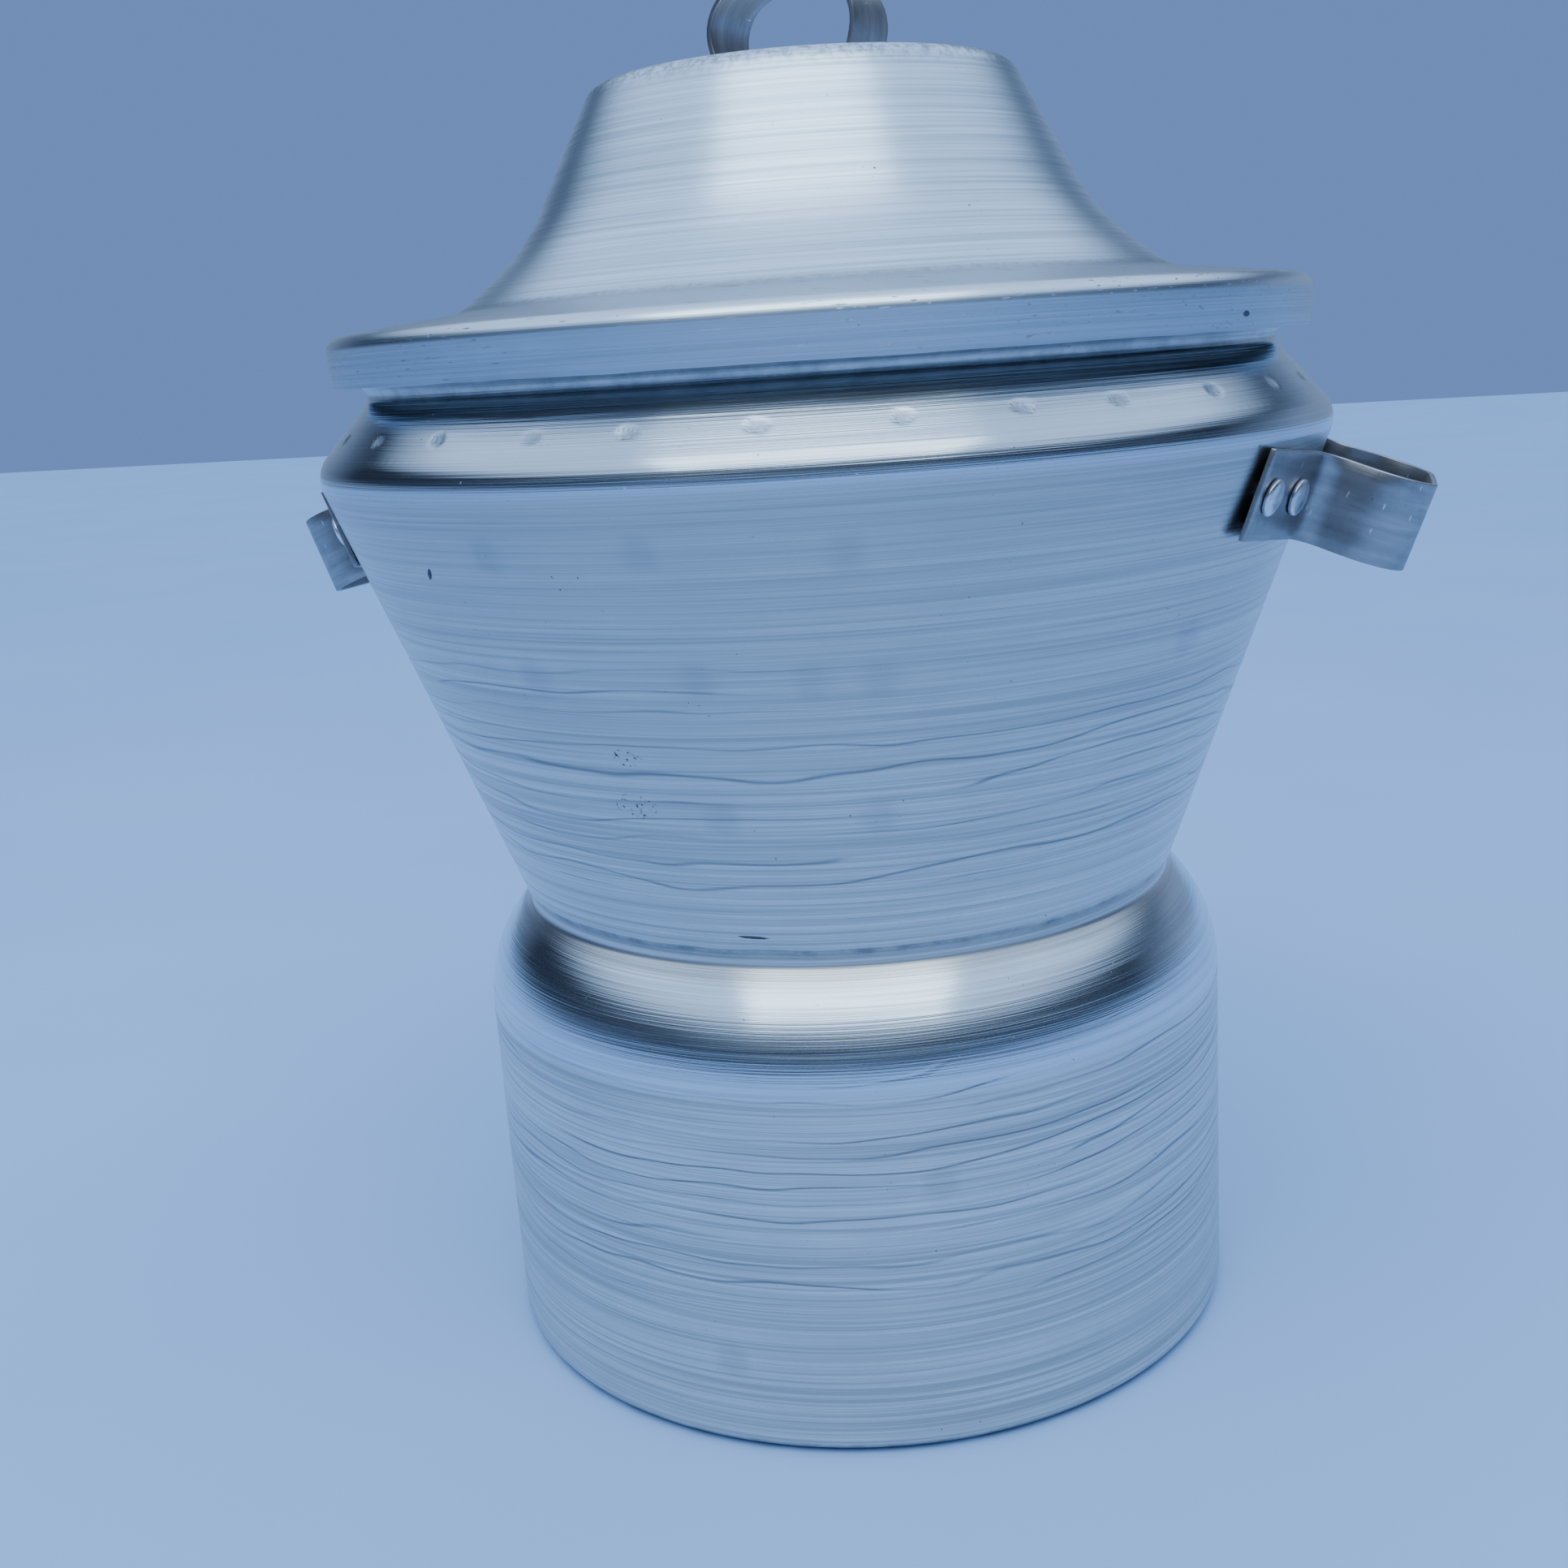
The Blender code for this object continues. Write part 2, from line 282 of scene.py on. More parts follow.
def work_pot_surface():
    """Move the outer wall as the tool left it: chatter, a wavy crease, file marks, wobble."""
    mesh = pot.data
    along = [item.value for item in mesh.attributes["along"].data]
    normals = [vertex.normal.copy() for vertex in mesh.vertices]
    marks = []
    for vertex, distance, normal in zip(mesh.vertices, along, normals):
        point = vertex.co
        radius = math.hypot(point.x, point.y)
        outside = distance <= pot_outside_length + 0.00001
        marked = 0
        if outside and radius > 0.05:
            if mark_band[0] < point.z < mark_band[1]:
                exact = shoulder_radius_at(point.z) / radius
                point.x, point.y = point.x * exact, point.y * exact
                marked = mark_strength(point)
            chatter = (within(point.z, *drum_chatter, 0.008) * 0.8
                       + within(point.z, *cone_chatter, 0.01))
            rings = noise.noise(Vector((point.x * 8, point.y * 8, point.z * 260)))
            fine = noise.noise(Vector((point.x * 25, point.y * 25, point.z * 420)))
            wobble = noise.noise(Vector((point.x * 11, point.y * 11, point.z * 9)))
            crease = 1 - fade(abs(point.z - waist_height), 0.0005, 0.004)
            wave = noise.noise(Vector((point.x * 55, point.y * 55, 3)))
            flat = min(1, marked ** 0.5) * mark_depth
            move = chatter * chatter_depth * (rings + 0.5 * fine) + wobble * out_of_round - flat
            vertex.co = point + normal * move + Vector((0, 0, crease * crease_wave * wave))
        marks.append(min(1, marked * 2.2))
    note_on_points(pot, "mark", marks)
    mesh.update()


refine_faces(pot, in_mark_band, 4)
work_pot_surface()

# Where the tool burnished the wall (painted lighter and bluer there as a painted sheen), painted shade
# in the folds, under the lid and at the foot, and faint round hammer facets on the cone, painted darker
# as painted shade: (turn from the front in degrees, height).
round_facets = [(-35.4, 0.2636), (-18, 0.264), (1.6, 0.262), (-35.2, 0.230), (-14.8, 0.2306),
           (-2.5, 0.229), (4.7, 0.2284), (44.3, 0.2274), (-15.3, 0.1903), (4.5, 0.1898),
           (-20, 0.028), (10, 0.083), (95, 0.25), (150, 0.21), (205, 0.255), (250, 0.232)]
round_facet_radius = 0.0068


# The round hammer facets, as a mask; the pot's colour darkens them as painted shade.
def round_facet_strength(point):
    radius = math.hypot(point.x, point.y)
    strongest = 0
    for turn, height in round_facets:
        if abs(point.z - height) < round_facet_radius:
            across = math.radians(turn_between(turn + front_turn, turn_of(point))) * radius
            distance = math.hypot(across, point.z - height)
            strongest = max(strongest, 1 - fade(distance, round_facet_radius * 0.45, round_facet_radius))
    return strongest


pot_points = [vertex.co for vertex in pot.data.vertices]
pot_along = [item.value for item in pot.data.attributes["along"].data]
pot_inner = [fade(distance, pot_outside_length, pot_outside_length + 0.002)
             for distance in pot_along]
note_on_points(pot, "inside", pot_inner)
# Burnished bands: smoother, and in the colour painted lighter and bluer as a painted sheen.
note_on_points(pot, "burnish_and_sheen", [
    within(point.z, 0.1130, 0.1365, 0.006) + within(point.z, 0.2800, 0.301, 0.004)
    for point in pot_points])
note_on_points(pot, "chatter", [
    max(within(point.z, *drum_chatter, 0.010), within(point.z, *cone_chatter, 0.012))
    for point in pot_points])
note_on_points(pot, "height", [point.z for point in pot_points])
# Painted shade: darker in the waist crease, in a band at the mouth under the lid and at the foot by the
# floor.
note_on_points(pot, "shade_and_grime", [
    max(1 - fade(abs(point.z - waist_height + 0.0006), 0.0002, 0.0012),
        0.45 * (1 - fade(abs(point.z - mouth_height), 0.001, 0.004)),
        0.8 * (1 - fade(point.z, 0.0005, 0.0045)))
    for point in pot_points])
note_on_points(pot, "shaded_facet", [round_facet_strength(point) for point in pot_points])


class Wiring:
    """Adds nodes to one node tree, and links or sets their inputs."""

    def __init__(self, tree):
        self.tree = tree

    def add(self, kind, inputs=None, output=0, **settings):
        made = self.tree.nodes.new(kind)
        for name, value in settings.items():
            setattr(made, name, value)
        for name, value in (inputs or {}).items():
            if isinstance(value, bpy.types.NodeSocket):
                self.tree.links.new(value, made.inputs[name])
            else:
                made.inputs[name].default_value = value
        return made.outputs[output]

    def sum(self, kind, first, second):
        return self.add("ShaderNodeMath", {0: first, 1: second}, operation=kind)

    def spread(self, value, low, high, start=0.0, end=1.0):
        """Take low..high to start..end and hold it there outside them."""
        limits = {"From Min": low, "From Max": high, "To Min": start, "To Max": end}
        return self.add("ShaderNodeMapRange", {"Value": value, **limits})

    def blend(self, amount, first, second, kind="MIX"):
        return self.add("ShaderNodeMix", {"Factor": amount, 6: first, 7: second}, output=2,
                        data_type="RGBA", blend_type=kind)

    def note(self, name):
        return self.add("ShaderNodeAttribute", output=2, attribute_name=name)

    def place(self):
        return self.add("ShaderNodeTexCoord", output=3)

    def noise(self, vector, scale, detail=2.0, roughness=0.5):
        values = {"Vector": vector, "Scale": scale, "Detail": detail, "Roughness": roughness}
        return self.add("ShaderNodeTexNoise", values)


def ring_pattern():
    """A node group: the lines that a tool leaves as it follows a turning sheet.

    Lines come out as a height for Bump, Streaks as broad tone, Blotches as cloudy tone."""
    group = bpy.data.node_groups.new("spinning_lines", "ShaderNodeTree")
    for name in ("Lines", "Streaks", "Blotches", "Pits", "Grooves"):
        group.interface.new_socket(name, in_out="OUTPUT", socket_type="NodeSocketFloat")
    w = Wiring(group)
    split = group.nodes.new("ShaderNodeSeparateXYZ")
    group.links.new(w.place(), split.inputs[0])
    along = w.note("along")

    def stretched(around, across):
        return w.add("ShaderNodeCombineXYZ", {
            0: w.sum("MULTIPLY", split.outputs[0], around),
            1: w.sum("MULTIPLY", split.outputs[1], around),
            2: w.sum("MULTIPLY", along, across)})

    fine = w.noise(stretched(7, 1700), 1, 2, 0.7)
    broad = w.noise(stretched(3, 620), 1, 3, 0.7)
    lines = w.sum("ADD", w.sum("MULTIPLY", fine, 0.6), w.sum("MULTIPLY", broad, 0.4))
    cuts = w.spread(broad, 0.42, 0.36)
    wander = w.sum("MULTIPLY", w.noise(stretched(6, 22), 1, 3, 0.5), 11)
    waves = w.sum("PINGPONG", w.sum("ADD", w.sum("MULTIPLY", along, 330), wander), 1.0)
    deep = w.spread(w.noise(stretched(6, 120), 1, 2, 0.5), 0.40, 0.54)
    grooves = w.sum("MULTIPLY", w.spread(waves, 0.02, 0.17, 1.0, 0.0), deep)
    streaks = w.sum("SUBTRACT", lines, w.sum("MULTIPLY", cuts, 0.12))
    blotches = w.noise(w.place(), 24, 4, 0.6)
    flecks = w.noise(w.place(), 900, 1, 0.5)
    where = w.noise(w.place(), 60, 3, 0.6)
    pits = w.sum("MULTIPLY", w.spread(flecks, 0.76, 0.82), w.spread(where, 0.52, 0.62))
    out = group.nodes.new("NodeGroupOutput")
    for index, value in enumerate((lines, streaks, blotches, pits, grooves)):
        group.links.new(value, out.inputs[index])
    return group


spinning_lines = ring_pattern()


def start_metal(name, colour, roughness, anisotropy=0.0):
    """A metal material with its plain values set; its patterns are wired afterwards."""
    material = bpy.data.materials.new(name)
    material.use_nodes = True
    shader = material.node_tree.nodes["Principled BSDF"]
    shader.inputs["Base Color"].default_value = (*colour, 1)
    shader.inputs["Metallic"].default_value = 1.0
    shader.inputs["Roughness"].default_value = roughness
    shader.inputs["Anisotropic"].default_value = anisotropy
    return material, Wiring(material.node_tree), shader


def follow_the_rings(w, shader):
    """Stretch reflections across the spinning lines."""
    tangent = w.add("ShaderNodeTangent", direction_type="RADIAL", axis="Z")
    w.tree.links.new(tangent, shader.inputs["Tangent"])
    shader.inputs["Anisotropic Rotation"].default_value = 0.25


def scar(w, place, size, turn=(0, 0, 0), ragged=0.35):
    """A mask: 1 inside an uneven oval of the given half sizes about a place."""
    local = w.add("ShaderNodeMapping", {
        "Vector": w.place(), "Location": place, "Rotation": turn, "Scale": size},
        vector_type="TEXTURE")
    ball = w.add("ShaderNodeTexGradient", {"Vector": local}, output=1,
                 gradient_type="SPHERICAL")
    edge = w.sum("MULTIPLY", w.noise(w.place(), 1000, 3, 0.75), ragged)
    return w.spread(w.sum("SUBTRACT", ball, edge), 0.02, 0.16)


def on_cone(turn, height):
    """A point of the cone's outer face, by degrees from the front of the pot and height."""
    angle = math.radians(turn + front_turn)
    radius = waist_radius + cone_slope * (height - waist_height)
    return (radius * math.sin(angle), -radius * math.cos(angle), height)


def pot_aluminium():
    """Spun aluminium: fine rings, burnished shoulders with a painted sheen, grey blotches, black pits
    and scars, painted shade up the cone, in the creases, under the lid and on round facets.
    """
    material, w, shader = start_metal("spun_aluminium_pot", (0.83, 0.84, 0.86), 0.27, 0.72)
    follow_the_rings(w, shader)
    pattern = w.tree.nodes.new("ShaderNodeGroup")
    pattern.node_tree = spinning_lines
    lines, streaks, blotches, pits, grooves = pattern.outputs
    burnish_and_sheen, shade_and_grime, mark = w.note("burnish_and_sheen"), w.note("shade_and_grime"), w.note("mark")
    shaded_facet, inside = w.note("shaded_facet"), w.note("inside")

    colour = w.blend(w.spread(streaks, 0.38, 0.60), (0.52, 0.49, 0.46, 1), (0.84, 0.79, 0.75, 1))
    colour = w.blend(w.spread(blotches, 0.45, 0.75, 0, 0.35), colour, (0.53, 0.50, 0.47, 1))
    # Painted shade: darker up the cone, for its darker reflection.
    cone_shade = w.spread(w.note("height"), 0.140, 0.270, 0.1, 0.62)
    colour = w.blend(cone_shade, colour, (0.37, 0.35, 0.33, 1))
    scored = w.sum("MULTIPLY", grooves, w.note("chatter"))
    colour = w.blend(w.sum("MULTIPLY", scored, 0.7), colour, (0.15, 0.15, 0.16, 1))
    # Painted sheen: the burnished bands lighter and bluer, the colour of the sky they reflect.
    colour = w.blend(w.sum("MULTIPLY", burnish_and_sheen, 0.5), colour, (0.70, 0.78, 0.86, 1))
    # Painted shade on the round hammer facets.
    colour = w.blend(w.sum("MULTIPLY", shaded_facet, 0.22), colour, (0.30, 0.32, 0.36, 1))
    colour = w.blend(w.sum("MULTIPLY", inside, 0.5), colour, (0.50, 0.50, 0.50, 1))
    # Painted shade in the waist crease, under the lid and at the foot, broken up by noise.
    painted_shade = w.sum("MULTIPLY", shade_and_grime, w.spread(w.noise(w.place(), 130, 4, 0.7), 0.4, 0.62, 0.1, 0.8))
    colour = w.blend(painted_shade, colour, (0.10, 0.10, 0.12, 1))
    slit = scar(w, on_cone(-14.5, 0.1528), (0.0062, 0.004, 0.0007), (0, 0.05, math.radians(2.5)), 0.5)
    flecks = w.spread(w.noise(w.place(), 900, 2, 0.6), 0.60, 0.66)
    gall = w.sum("MULTIPLY", flecks, scar(w, on_cone(-26, 0.2085), (0.006, 0.006, 0.004)))
    rub = w.sum("MULTIPLY", flecks, scar(w, on_cone(-27, 0.1935), (0.010, 0.006, 0.005)))
    nick = scar(w, on_cone(-46, 0.258), (0.0011, 0.004, 0.0024), (0, 0.4, 0), 0.4)
    black = pits
    for other in (slit, gall, rub, nick):
        black = w.sum("MAXIMUM", black, other)
    colour = w.blend(w.sum("MULTIPLY", black, 0.85), colour, (0.035, 0.035, 0.045, 1))
    colour = w.blend(w.sum("MULTIPLY", mark, 0.35), colour, (0.62, 0.66, 0.72, 1))
    w.tree.links.new(colour, shader.inputs["Base Color"])

    rough = w.spread(streaks, 0.3, 0.7, 0.36, 0.24)
    rough = w.sum("SUBTRACT", rough, w.sum("MULTIPLY", burnish_and_sheen, 0.12))
    rough = w.sum("ADD", rough, w.sum("MULTIPLY", shaded_facet, 0.07))
    rough = w.sum("ADD", rough, w.sum("MULTIPLY", w.sum("MAXIMUM", mark, black), 0.25))
    rough = w.sum("ADD", rough, w.sum("MULTIPLY", inside, 0.08))
    w.tree.links.new(rough, shader.inputs["Roughness"])

    scratches = w.noise(w.add("ShaderNodeMapping", {
        "Vector": w.place(), "Scale": (900, 900, 260)}), 1, 2, 0.6)
    height = w.sum("ADD", lines, w.sum("MULTIPLY", w.sum("MULTIPLY", mark, scratches), 1.2))
    height = w.sum("SUBTRACT", height, w.sum("MULTIPLY", scored, 0.7))
    height = w.sum("SUBTRACT", height, w.sum("MULTIPLY", black, 1.5))
    bump = w.add("ShaderNodeBump", {"Height": height, "Strength": 1.0, "Distance": 0.00013})
    w.tree.links.new(bump, shader.inputs["Normal"])
    return material


pot.data.materials.append(pot_aluminium())
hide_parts("pot_body")
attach(pot, "pot")


# ---------------------------------------------------------------------------------------------
# Lid. A 1.5 mm disc spun into a flat-topped hat with a flared foot, a sloping brim and a
# turned-down skirt that hangs over the pot's collar. It only rests on the rim.

lid_top = 0.388
lid_wall = 0.0015
brim_radius, brim_height = 0.1484, 0.3207
hat_foot_height = 0.3257
lid_corners = [
    (0, lid_top, 0),
    (0.0631, lid_top, 0.007),
    (0.0869, 0.3427, 0.055),
    (0.1086, hat_foot_height, 0.010),
    (brim_radius, brim_height, 0.0042),
    (0.1472, 0.3065, 0),
]
lid_columns = 240


def right_hand_wall(points, wall):
    """The inner face of a sheet whose outer outline runs down: the wall is on its right."""
    return inner_outline(points[::-1], wall)[::-1]


lid_outline = divided(rounded_outline(lid_corners, math.radians(6)), lambda height: 0.0035)
lid_inside = right_hand_wall(rounded_outline(lid_corners, math.radians(18)), lid_wall)
lid_outside_length = outline_length(lid_outline)
lid = spin_wall("lid_spun_hat", lid_outline, lid_inside, lid_columns)


def work_lid_surface():
    """Move the lid as it came off the former and as knocks left it."""
    mesh = lid.data
    along = [item.value for item in mesh.attributes["along"].data]
    dents = [(-38 + step * 2.1, 0.3105) for step in range(7)] + [(49, 0.3125), (140, 0.309)]
    for vertex, distance in zip(mesh.vertices, along):
        point, outside = vertex.co, distance <= lid_outside_length + 0.00001
        radius = math.hypot(point.x, point.y)
        if outside and radius > 0.03:
            rings = noise.noise(Vector((point.x * 8, point.y * 8, distance * 200)))
            wobble = noise.noise(Vector((point.x * 10, point.y * 10, point.z * 14)))
            dent = 0
            if radius > 0.14 and point.z < 0.3175:
                for turn, height in dents:
                    across = math.radians(turn_between(turn + front_turn, turn_of(point)))
                    far = math.hypot(across * radius, point.z - height)
                    dent = max(dent, 1 - fade(far, 0.0004, 0.0026))
            vertex.co = point + vertex.normal * (rings * 0.00004 + wobble * 0.00018
                                                 - dent * 0.0003)
        if point.z < 0.308:
            burr = noise.noise(Vector((point.x * 70, point.y * 70, 1)))
            vertex.co.z += 0.00025 * burr
    mesh.update()


work_lid_surface()
lid_points = [vertex.co for vertex in lid.data.vertices]
lid_along = [item.value for item in lid.data.attributes["along"].data]
note_on_points(lid, "inside", [
    fade(distance, lid_outside_length, lid_outside_length + 0.002) for distance in lid_along])
# Painted shade in the corner at the hat's foot, and a darker ring round the edge of the flat top.
note_on_points(lid, "shade_and_grime", [
    max(0.5 * (1 - fade(math.hypot((math.hypot(point.x, point.y) - 0.1075),
                                   point.z - 0.3262), 0.0004, 0.002)),
        0.9 * within(math.hypot(point.x, point.y), 0.055, 0.0635, 0.003) * (point.z > 0.379))
    for point in lid_points])
note_on_points(lid, "brim", [
    max(within(math.hypot(point.x, point.y), 0.1085, 0.146, 0.003) * (point.z > 0.3158),
        0.6 * (math.hypot(point.x, point.y) > 0.1462) * (point.z < 0.3185))
    for point in lid_points])
# Painted highlight along the brim's rounded edge, which also gathers scratches.
note_on_points(lid, "edge", [
    1 - fade(math.hypot(math.hypot(point.x, point.y) - brim_radius + 0.0015,
                        point.z - brim_height + 0.001), 0.0015, 0.004)
    for point in lid_points])


def lid_aluminium():
    """Brighter sheet than the pot: white hat with fine pits, greyer brim, scuffed corner, a painted
    highlight along the brim's rounded edge and painted shade in the hat's foot.
    """
    material, w, shader = start_metal("spun_aluminium_lid", (0.88, 0.89, 0.9), 0.3, 0.6)
    follow_the_rings(w, shader)
    pattern = w.tree.nodes.new("ShaderNodeGroup")
    pattern.node_tree = spinning_lines
    lines, streaks, blotches, pits, grooves = pattern.outputs
    shade_and_grime, brim, edge, inside = (w.note(name) for name in ("shade_and_grime", "brim", "edge", "inside"))

    colour = w.blend(w.spread(streaks, 0.35, 0.65), (0.54, 0.60, 0.66, 1), (0.82, 0.88, 0.94, 1))
    colour = w.blend(w.spread(blotches, 0.48, 0.72, 0, 0.3), colour, (0.70, 0.72, 0.74, 1))
    colour = w.blend(w.sum("MULTIPLY", brim, 0.8), colour, (0.36, 0.39, 0.43, 1))
    # Painted highlight on the brim's rounded edge.
    colour = w.blend(w.sum("MULTIPLY", edge, 0.5), colour, (0.93, 0.94, 0.95, 1))
    colour = w.blend(w.sum("MULTIPLY", inside, 0.4), colour, (0.62, 0.62, 0.60, 1))
    speckle = w.noise(w.place(), 420, 3, 0.75)
    # Darker and speckled: painted shade in the corner at the hat's foot, and a ring round the top's
    # edge.
    shade_and_stain = w.sum("MULTIPLY", shade_and_grime, w.spread(speckle, 0.44, 0.62, 0.0, 0.75))
    colour = w.blend(shade_and_stain, colour, (0.16, 0.16, 0.18, 1))
    long_scratch = w.noise(w.add("ShaderNodeMapping", {
        "Vector": w.place(), "Scale": (60, 420, 1500)}), 1, 2, 0.6)
    scratched = w.sum("MULTIPLY", w.sum("MAXIMUM", edge, w.sum("MULTIPLY", brim, 0.8)),
                      w.spread(long_scratch, 0.66, 0.72))
    oxide = scar(w, (-0.085, -0.122, 0.3212), (0.030, 0.02, 0.0012), (0, 0, -0.6), 1.3)
    chip = scar(w, (0.134, -0.062, 0.3105), (0.0012, 0.003, 0.0010), (0, 0, 0), 0.3)
    black = w.sum("MAXIMUM", w.sum("MAXIMUM", pits, scratched), w.sum("MAXIMUM", oxide, chip))
    colour = w.blend(w.sum("MULTIPLY", black, 0.8), colour, (0.05, 0.05, 0.06, 1))
    w.tree.links.new(colour, shader.inputs["Base Color"])

    rough = w.spread(streaks, 0.3, 0.7, 0.37, 0.28)
    rough = w.sum("ADD", rough, w.sum("MULTIPLY", brim, 0.05))
    rough = w.sum("SUBTRACT", rough, w.sum("MULTIPLY", edge, 0.08))
    rough = w.sum("ADD", rough, w.sum("MULTIPLY", black, 0.25))
    w.tree.links.new(rough, shader.inputs["Roughness"])

    height = w.sum("SUBTRACT", lines, w.sum("MULTIPLY", black, 1.0))
    bump = w.add("ShaderNodeBump", {"Height": height, "Strength": 1.0, "Distance": 0.00006})
    w.tree.links.new(bump, shader.inputs["Normal"])
    return material


lid.data.materials.append(lid_aluminium())
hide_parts("lid_shell")
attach(lid, "lid")


# ---------------------------------------------------------------------------------------------
# Side handles. Two lengths of 25 mm mill-finish strip, bent cold to D-shaped loops with flat
# feet. The left one reaches out a little less. The cut edges are bright and slightly rounded.

strip_thickness = 0.0016
strip_width = 0.025
grip_half_span = 0.033
side_handle_height = 0.2607
side_handle_reach = {"right": 0.031, "left": 0.027}
side_handle_turn = {"right": 0.0, "left": math.pi}
foot_centre = 0.0467                                # along the loop, where a foot meets the wall
foot_back, foot_front = 0.019, 0.0255               # from there to the strip's end and the bend
touch_gap = 0.0006
side_bends = (0.008, 0.012)                          # radii beside the foot and at the grip
wall_angle = math.atan(cone_slope)
wall_radius = waist_radius + cone_slope * (side_handle_height - waist_height)
wall_curve = wall_radius / math.cos(wall_angle)
foot_lean = math.asin(foot_centre / wall_curve)


def apply_all(piece):
    """Apply a piece's modifiers and its place, which leaves its object at the origin."""
    bpy.ops.object.select_all(action="DESELECT")
    piece.select_set(True)
    bpy.context.view_layer.objects.active = piece
    for modifier in list(piece.modifiers):
        bpy.ops.object.modifier_apply(modifier=modifier.name)
    bpy.ops.object.transform_apply(location=True, rotation=True, scale=True)


def loop_corners(foot_end, bend, grip, bends):
    """A D-shaped loop: foot, bend and grip corners on the +X side, mirrored to the -X side."""
    side = [(*foot_end, 0), (*bend, bends[0]), (*grip, bends[1])]
    return side + [(-x, y, radius) for x, y, radius in reversed(side)]


def bend_strip(name, corners, width, place, seed):
    """A strip bent along the corners, which lie on its inner face, and put in its place."""
    path = divided(rounded_outline(corners, math.radians(9)), lambda height: 0.0025)
    strip = draw_line(name, [Vector((point.x, point.y, -width / 2)) for point in path])
    rows = 6
    bpy.ops.object.mode_set(mode="EDIT")
    bpy.ops.mesh.select_all(action="SELECT")
    for row in range(rows):
        bpy.ops.mesh.extrude_region_move(
            TRANSFORM_OT_translate={"value": (0, 0, width / rows)})
    bpy.ops.mesh.select_all(action="SELECT")
    bpy.ops.mesh.normals_make_consistent(inside=False)
    bpy.ops.object.mode_set(mode="OBJECT")
    middle = strip.data.polygons[len(strip.data.polygons) // 2]
    if middle.normal.y < 0:
        strip.data.flip_normals()
    for vertex in strip.data.vertices:
        ripple = noise.noise(vertex.co * 38 + Vector((seed, 0, 0)))
        vertex.co += vertex.normal * 0.00028 * ripple
    note_on_points(strip, "across", [vertex.co.z for vertex in strip.data.vertices])
    sheet = strip.modifiers.new("Sheet", "SOLIDIFY")
    sheet.thickness = strip_thickness
    sheet.offset = 1
    cut_edge = strip.modifiers.new("Cut edge", "BEVEL")
    cut_edge.width = 0.0003
    cut_edge.segments = 2
    cut_edge.limit_method = "ANGLE"
    cut_edge.angle_limit = math.radians(60)
    strip.matrix_world = place
    apply_all(strip)
    bpy.ops.object.shade_smooth_by_angle(angle=math.radians(50))
    return strip


def strip_metal(name, dull, bright, roughness):
    """Rolled strip: fine lines along it, dull patches, dark flecks and a few bright scratches."""
    material, w, shader = start_metal(name, dull, roughness, 0.35)
    along, across = w.note("along"), w.note("across")

    def rolled(lengthwise, crosswise):
        return w.add("ShaderNodeCombineXYZ", {
            0: w.sum("MULTIPLY", along, lengthwise), 1: w.sum("MULTIPLY", across, crosswise)})

    fine = w.noise(rolled(45, 2600), 1, 3, 0.6)
    broad = w.noise(rolled(25, 260), 1, 3, 0.6)
    patches = w.noise(w.place(), 70, 4, 0.6)
    scratch = w.spread(w.noise(rolled(520, 160), 1, 1, 0.5), 0.73, 0.77)
    flecks = w.spread(w.noise(w.place(), 1100, 1, 0.5), 0.74, 0.8)
    colour = w.blend(w.spread(broad, 0.3, 0.7), (*dull, 1), (*bright, 1))
    colour = w.blend(w.spread(patches, 0.45, 0.7, 0, 0.45), colour,
                     (dull[0] * 0.7, dull[1] * 0.68, dull[2] * 0.66, 1))
    colour = w.blend(w.sum("MULTIPLY", flecks, 0.5), colour, (0.06, 0.06, 0.06, 1))
    colour = w.blend(w.sum("MULTIPLY", scratch, 0.6), colour, (0.85, 0.86, 0.88, 1))
    w.tree.links.new(colour, shader.inputs["Base Color"])
    rough = w.spread(fine, 0.3, 0.7, roughness - 0.06, roughness + 0.07)
    w.tree.links.new(w.sum("ADD", rough, w.sum("MULTIPLY", patches, 0.08)),
                     shader.inputs["Roughness"])
    height = w.sum("ADD", w.sum("MULTIPLY", fine, 0.4), w.sum("MULTIPLY", broad, 0.6))
    height = w.sum("SUBTRACT", height, w.sum("MULTIPLY", scratch, 0.6))
    bump = w.add("ShaderNodeBump", {"Height": height, "Strength": 1.0, "Distance": 0.00004})
    w.tree.links.new(bump, shader.inputs["Normal"])
    return material


mill_strip = strip_metal("mill_strip", (0.30, 0.27, 0.26), (0.46, 0.42, 0.41), 0.36)


def side_handle_place(side):
    """The middle of a handle's feet on the cone: X round the pot, Y out of it, Z up the wall."""
    return (Matrix.Rotation(side_handle_turn[side], 4, "Z")
            @ Matrix.Translation((wall_radius, 0, side_handle_height))
            @ Matrix.Rotation(wall_angle, 4, "Y")
            @ Matrix.Rotation(math.radians(-90), 4, "Z"))


touch = Vector((foot_centre, (wall_curve + touch_gap) * math.cos(foot_lean) - wall_curve))
foot_line = Vector((math.cos(foot_lean), -math.sin(foot_lean)))
side_foot_end = touch + foot_line * foot_back
side_foot_bend = touch - foot_line * foot_front
for side, reach in side_handle_reach.items():
    corners = loop_corners(side_foot_end, side_foot_bend, (grip_half_span, reach), side_bends)
    handle = bend_strip(f"{side}_handle_strip", corners, strip_width, side_handle_place(side),
                        seed=len(side))
    handle.data.materials.append(mill_strip)
    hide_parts(f"side_handle_{side}")
    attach(handle, "pot")


# ---------------------------------------------------------------------------------------------
# Rivets of the side handles. Plain aluminium, two through each foot: a flat turned head with a
# broken edge outside, and a hammered end inside. One is turned and copied.

seat = strip_thickness + 0.0003
head_radius, head_height = 0.0052, 0.0019
shank_radius = 0.0022
closed_radius, closed_height = 0.0040, 0.0013
pot_stack = pot_wall + 0.0018
rivet_spots = (0.008, 0.028)                        # back from the strip's end


